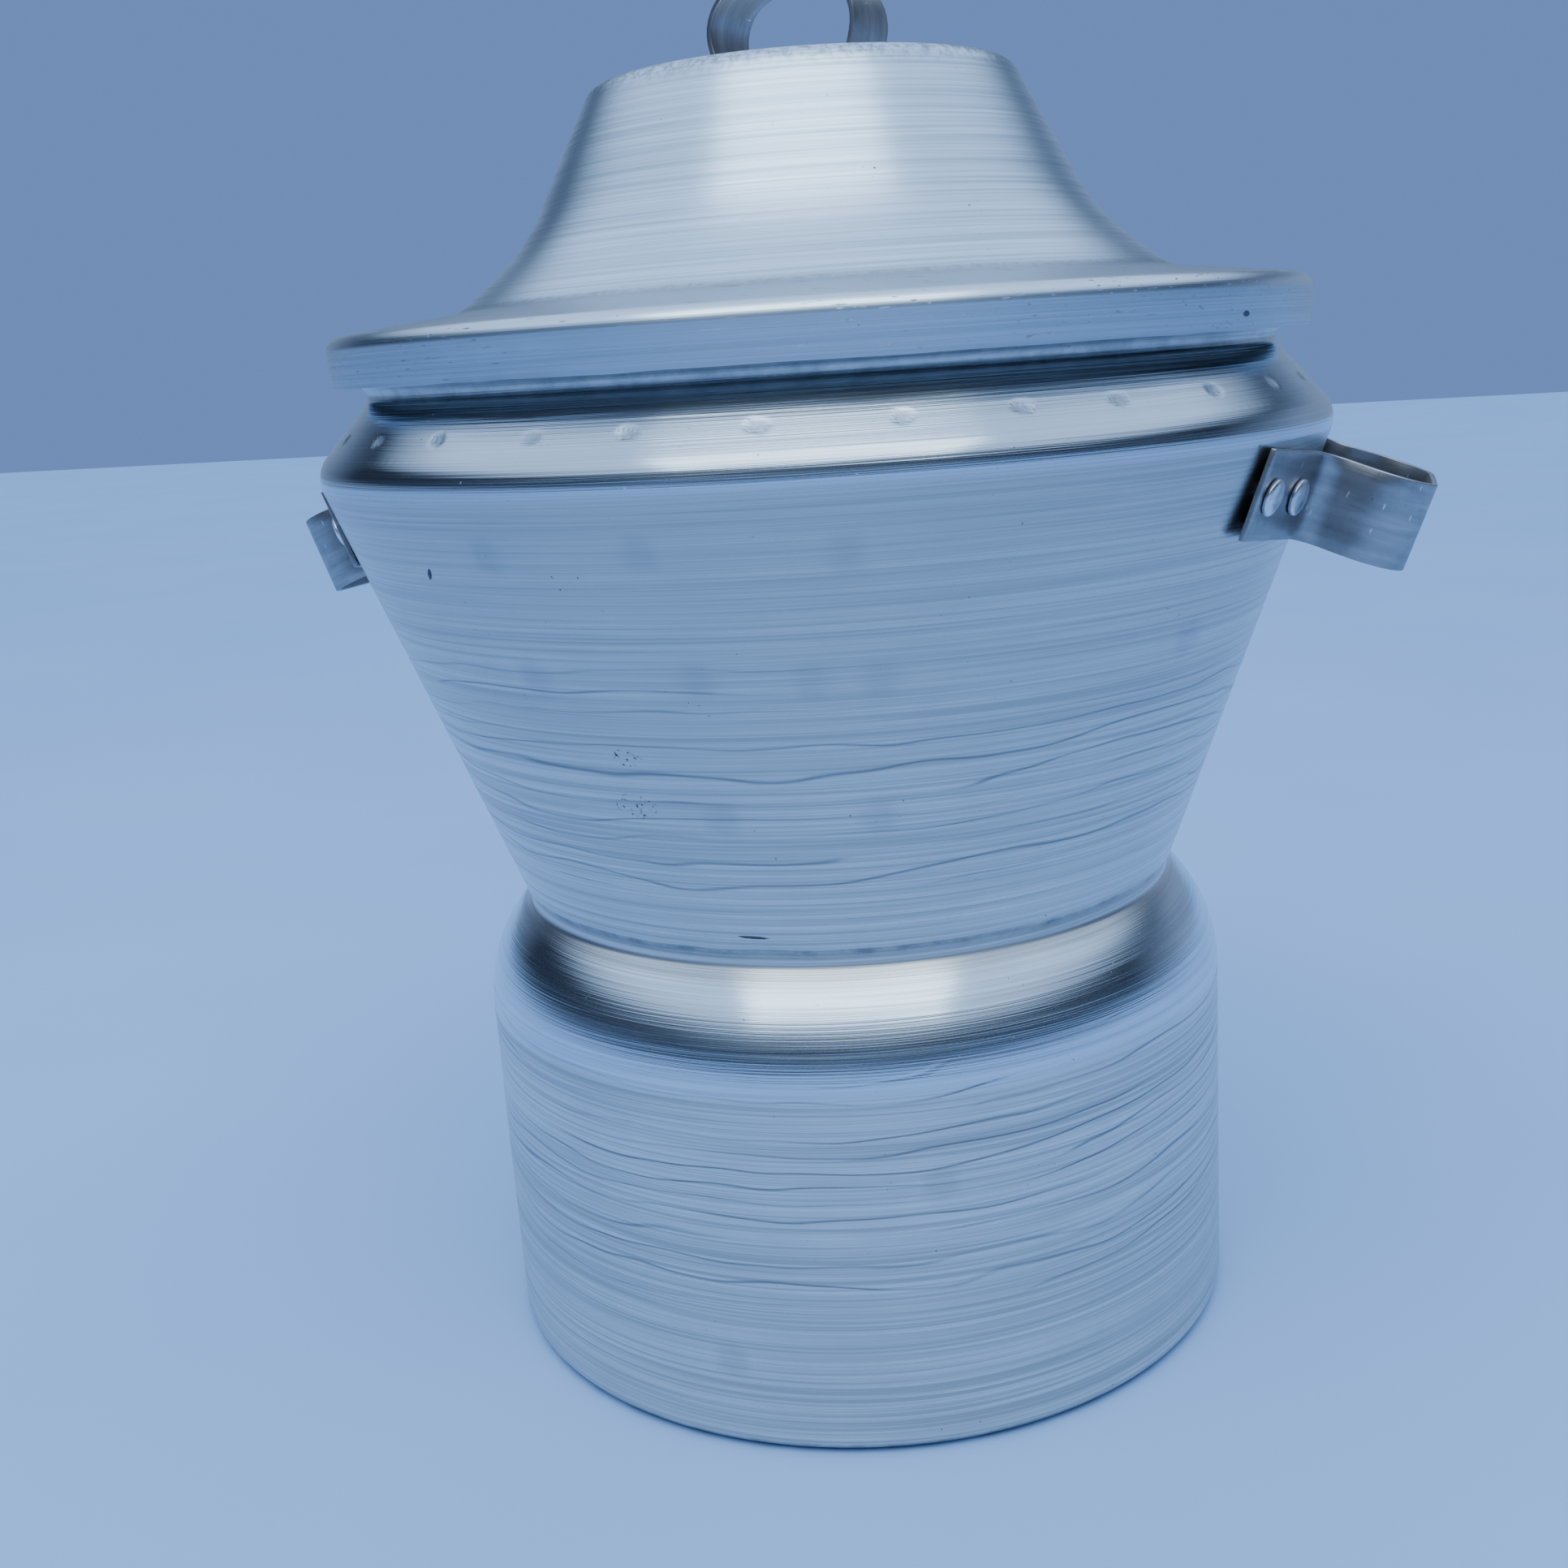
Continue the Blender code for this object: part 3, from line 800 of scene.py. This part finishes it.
def turn_rivet(name, stack):
    """A rivet along Z whose head sits on the strip and whose closed end sits under the stack."""
    corners = [
        (0, seat + head_height, 0),
        (head_radius * 0.55, seat + head_height - 0.00008, 0.004),
        (head_radius - 0.0007, seat + head_height - 0.0004, 0.0006),
        (head_radius, seat + head_height * 0.45, 0.0005),
        (head_radius - 0.0002, seat, 0.0001),
        (shank_radius, seat, 0.0001),
        (shank_radius, -stack, 0.0001),
        (closed_radius, -stack, 0.0003),
        (closed_radius * 0.8, -stack - closed_height, 0.0006),
        (0, -stack - closed_height, 0),
    ]
    outline = rounded_outline(corners, math.radians(25))
    return spin_wall(name, outline, [], 28)


def rivet_copy(pattern, name, place, seed):
    """Copy a rivet, dress its head as its own hammer blow left it, and put it in place."""
    bpy.ops.object.select_all(action="DESELECT")
    pattern.select_set(True)
    bpy.context.view_layer.objects.active = pattern
    bpy.ops.object.duplicate(linked=False)
    copy = bpy.context.object
    copy.name = copy.data.name = name
    random.seed(seed)
    tilt = Matrix.Rotation(random.uniform(-0.03, 0.03), 4, "X")
    for vertex in copy.data.vertices:
        vertex.co += vertex.normal * 0.00007 * noise.noise(vertex.co * 420 + Vector((seed, 0, 0)))
    copy.matrix_world = place @ tilt @ Matrix.Rotation(random.uniform(0, math.tau), 4, "Z")
    apply_all(copy)
    copy.data.materials.clear()
    copy.data.materials.append(rivet_metal)
    return copy


def rivet_aluminium():
    """Paler than the strip and a little frosted, with dark flecks."""
    material, w, shader = start_metal("rivet_aluminium", (0.74, 0.75, 0.77), 0.33)
    dapple = w.noise(w.place(), 260, 4, 0.6)
    flecks = w.spread(w.noise(w.place(), 1300, 1, 0.5), 0.72, 0.8)
    colour = w.blend(w.spread(dapple, 0.35, 0.65), (0.56, 0.55, 0.58, 1), (0.84, 0.84, 0.87, 1))
    colour = w.blend(w.sum("MULTIPLY", flecks, 0.55), colour, (0.10, 0.10, 0.11, 1))
    w.tree.links.new(colour, shader.inputs["Base Color"])
    w.tree.links.new(w.spread(dapple, 0.3, 0.7, 0.28, 0.42), shader.inputs["Roughness"])
    height = w.sum("ADD", dapple, w.sum("MULTIPLY", w.noise(w.place(), 1500, 2, 0.6), 0.4))
    bump = w.add("ShaderNodeBump", {"Height": height, "Strength": 1.0, "Distance": 0.00008})
    w.tree.links.new(bump, shader.inputs["Normal"])
    return material


rivet_metal = rivet_aluminium()


def rivet_place(x, y, lean):
    """The place of a rivet at (x, y) on a loop's foot, square to a foot that leans."""
    upright = Matrix.Rotation(lean, 4, "Z") @ Matrix.Rotation(math.radians(-90), 4, "X")
    return Matrix.Translation((x, y, 0)) @ upright


pot_rivet = turn_rivet("pot_rivet", pot_stack)
for side in side_handle_reach:
    number = 0
    for mirror in (1, -1):
        for back in rivet_spots:
            number += 1
            x, y = side_foot_end - foot_line * back
            spot = side_handle_place(side) @ rivet_place(mirror * x, y, -mirror * foot_lean)
            rivet = rivet_copy(pot_rivet, f"{side}_handle_rivet_head_{number}", spot,
                               seed=number + 10 * len(side))
            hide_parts(f"side_handle_{side}_rivet_{number}")
            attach(rivet, "pot")
bpy.data.objects.remove(pot_rivet)


# ---------------------------------------------------------------------------------------------
# Lid handle. The same strip, bent to an upright loop with feet turned outwards on the flat top
# of the lid, one rivet through each. It stands a little off the line of the side handles.

lid_handle_turn = math.radians(-8)
lid_handle_place = (Matrix.Translation((0, 0, lid_top)) @ Matrix.Rotation(lid_handle_turn, 4, "Z")
                    @ Matrix.Rotation(math.radians(90), 4, "X"))
lid_rivet_spot = 0.031
lid_stack = lid_wall + 0.0006
lid_loop = loop_corners((0.041, 0.0003), (0.0195, 0.0003), (0.027, 0.026), (0.004, 0.013))
lid_handle = bend_strip("lid_handle_strip", lid_loop, strip_width, lid_handle_place, seed=9)
lid_handle.data.materials.append(mill_strip)
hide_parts("lid_handle")
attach(lid_handle, "lid")

lid_rivet = turn_rivet("lid_rivet", lid_stack)
for number, mirror in enumerate((1, -1), 1):
    spot = lid_handle_place @ rivet_place(mirror * lid_rivet_spot, 0.0003, 0)
    rivet = rivet_copy(lid_rivet, f"lid_rivet_head_{number}", spot, seed=30 + number)
    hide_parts(f"lid_rivet_{number}")
    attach(rivet, "lid")
bpy.data.objects.remove(lid_rivet)


# ---------------------------------------------------------------------------------------------
# Steam plate. A loose 1.2 mm disc with its edge turned down along the cone, drilled in three
# rings for the steam. It carries the food above the water.

plate_top = 0.159
plate_wall = 0.0012
plate_radius = 0.1072
plate_edge = 0.006
plate_corners = [(0, plate_top, 0), (plate_radius, plate_top, 0.0025),
                 (plate_radius - cone_slope * plate_edge, plate_top - plate_edge, 0)]
hole_radius = 0.003
hole_rings = ((0.048, 10), (0.066, 14), (0.084, 18))
plate_outline = divided(rounded_outline(plate_corners, math.radians(10)), lambda height: 0.006)
plate_inside = right_hand_wall(rounded_outline(plate_corners, math.radians(18)), plate_wall)
plate = spin_wall("steam_plate_disc", plate_outline, plate_inside, 120)


def drill_plate():
    """Drill the rings of holes with one cutter."""
    bpy.ops.object.select_all(action="DESELECT")
    drills = []
    for ring_radius, holes in hole_rings:
        for hole in range(holes):
            angle = math.tau * (hole + 0.5) / holes
            bpy.ops.mesh.primitive_cylinder_add(
                vertices=20, radius=hole_radius, depth=0.01,
                location=(ring_radius * math.cos(angle), ring_radius * math.sin(angle), plate_top))
            drills.append(bpy.context.object)
    bpy.ops.object.select_all(action="DESELECT")
    for drill in drills:
        drill.select_set(True)
    bpy.context.view_layer.objects.active = drills[0]
    bpy.ops.object.join()
    cutter = bpy.context.object
    cut = plate.modifiers.new("Holes", "BOOLEAN")
    cut.operation = "DIFFERENCE"
    cut.solver = "EXACT"
    cut.object = cutter
    apply_all(plate)
    bpy.ops.object.shade_smooth_by_angle(angle=math.radians(35))
    bpy.data.objects.remove(cutter)


drill_plate()


def plate_aluminium():
    """Satin sheet with faint turning rings and grey water marks."""
    material, w, shader = start_metal("sheet_aluminium", (0.70, 0.72, 0.74), 0.38, 0.4)
    follow_the_rings(w, shader)
    pattern = w.tree.nodes.new("ShaderNodeGroup")
    pattern.node_tree = spinning_lines
    lines, streaks, blotches, pits, grooves = pattern.outputs
    colour = w.blend(w.spread(streaks, 0.35, 0.65), (0.60, 0.61, 0.62, 1), (0.76, 0.77, 0.78, 1))
    colour = w.blend(w.spread(blotches, 0.5, 0.6, 0, 0.4), colour, (0.48, 0.47, 0.45, 1))
    colour = w.blend(w.sum("MULTIPLY", pits, 0.7), colour, (0.1, 0.1, 0.1, 1))
    w.tree.links.new(colour, shader.inputs["Base Color"])
    w.tree.links.new(w.spread(blotches, 0.4, 0.65, 0.34, 0.5), shader.inputs["Roughness"])
    bump = w.add("ShaderNodeBump", {"Height": lines, "Strength": 1.0, "Distance": 0.00003})
    w.tree.links.new(bump, shader.inputs["Normal"])
    return material


plate.data.materials.append(plate_aluminium())
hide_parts("steam_plate")
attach(plate, "steam_plate")

plate_handle_place = (Matrix.Translation((0, 0, plate_top))
                      @ Matrix.Rotation(math.radians(90), 4, "X"))
plate_loop = loop_corners((0.036, 0.0003), (0.020, 0.0003), (0.023, 0.028), (0.004, 0.010))
plate_handle = bend_strip("steam_plate_handle_strip", plate_loop, 0.014, plate_handle_place,
                          seed=17)
plate_handle.data.materials.append(mill_strip)
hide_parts("steam_plate_handle")
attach(plate_handle, "steam_plate")

plate_rivet = turn_rivet("plate_rivet", plate_wall + 0.0006)
for number, mirror in enumerate((1, -1), 1):
    spot = plate_handle_place @ rivet_place(mirror * 0.029, 0.0003, 0)
    rivet = rivet_copy(plate_rivet, f"steam_plate_rivet_head_{number}", spot, seed=40 + number)
    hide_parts(f"steam_plate_rivet_{number}")
    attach(rivet, "steam_plate")
bpy.data.objects.remove(plate_rivet)


# ---------------------------------------------------------------------------------------------
# Floor and light. A plain pale blue floor under a soft sky: white overhead, dim towards the
# horizon, so the shoulders show a bright patch that ends dark at both sides.

bpy.ops.object.select_all(action="DESELECT")
bpy.ops.mesh.primitive_plane_add(size=12, location=(0, 0, -0.0004))
floor = bpy.context.object
floor.name = "floor"


def floor_paper():
    material = bpy.data.materials.new("pale_floor")
    material.use_nodes = True
    w = Wiring(material.node_tree)
    shader = material.node_tree.nodes["Principled BSDF"]
    shader.inputs["Roughness"].default_value = 0.7
    tone = w.noise(w.place(), 3, 3, 0.5)
    colour = w.blend(w.spread(tone, 0.3, 0.7), (0.37, 0.57, 0.91, 1), (0.41, 0.61, 0.95, 1))
    w.tree.links.new(colour, shader.inputs["Base Color"])
    return material


floor.data.materials.append(floor_paper())


def soft_sky():
    """The world: pale to the camera; to reflections a white zenith over a dim horizon."""
    world = bpy.data.worlds.new("soft_sky")
    bpy.context.scene.world = world
    world.use_nodes = True
    w = Wiring(world.node_tree)
    split = world.node_tree.nodes.new("ShaderNodeSeparateXYZ")
    world.node_tree.links.new(w.add("ShaderNodeTexCoord", output=0), split.inputs[0])
    height, back = split.outputs[2], split.outputs[1]
    zenith = w.spread(height, 0.40, 0.62)
    low_haze = w.spread(height, 0.10, 0.0)
    behind = w.sum("MULTIPLY", w.spread(back, 0.35, 0.8), w.spread(height, 0.45, 0.2))
    haze = w.sum("MAXIMUM", w.sum("MULTIPLY", low_haze, 0.8), behind)
    sky = w.blend(zenith, (0.020, 0.032, 0.060, 1), (0.78, 1.15, 1.75, 1))
    sky = w.blend(haze, sky, (0.22, 0.33, 0.56, 1))
    seen = w.add("ShaderNodeLightPath", output=0)
    sky = w.blend(seen, sky, (0.15, 0.26, 0.60, 1))
    w.tree.links.new(sky, world.node_tree.nodes["Background"].inputs["Color"])
    world.node_tree.nodes["Background"].inputs["Strength"].default_value = 1.0


soft_sky()


def soft_light(name, place, aim, size, watts, colour):
    bpy.ops.object.light_add(type="AREA", location=place)
    light = bpy.context.object
    light.name = name
    light.data.shape = "RECTANGLE"
    light.data.size, light.data.size_y = size
    light.data.energy = watts
    light.data.color = colour
    light.rotation_euler = (Vector(aim) - Vector(place)).to_track_quat("-Z", "Y").to_euler()


soft_light("sky_light", (0.25, -1.0, 1.75), (0, 0, 0.2), (1.8, 1.1), 17, (0.74, 0.92, 1.0))


# ---------------------------------------------------------------------------------------------
# Camera. In front and close, a little to the right, just below the height of the mouth.

camera_distance = 0.565
camera_height = 0.3094
camera_data = bpy.data.cameras.new("camera")
camera_data.lens = 40.43
camera_data.sensor_width = 36
camera_data.clip_start = 0.01
camera = bpy.data.objects.new("camera", camera_data)
bpy.context.scene.collection.objects.link(camera)
camera.matrix_world = (
    Matrix.Rotation(math.radians(front_turn), 4, "Z")
    @ Matrix.Translation((0, -camera_distance, camera_height))
    @ Matrix.Rotation(math.radians(1.94), 4, "Z")
    @ Matrix.Rotation(math.radians(90 - 13.84), 4, "X")
    @ Matrix.Rotation(math.radians(-3.875), 4, "Z")
)
bpy.context.scene.camera = camera
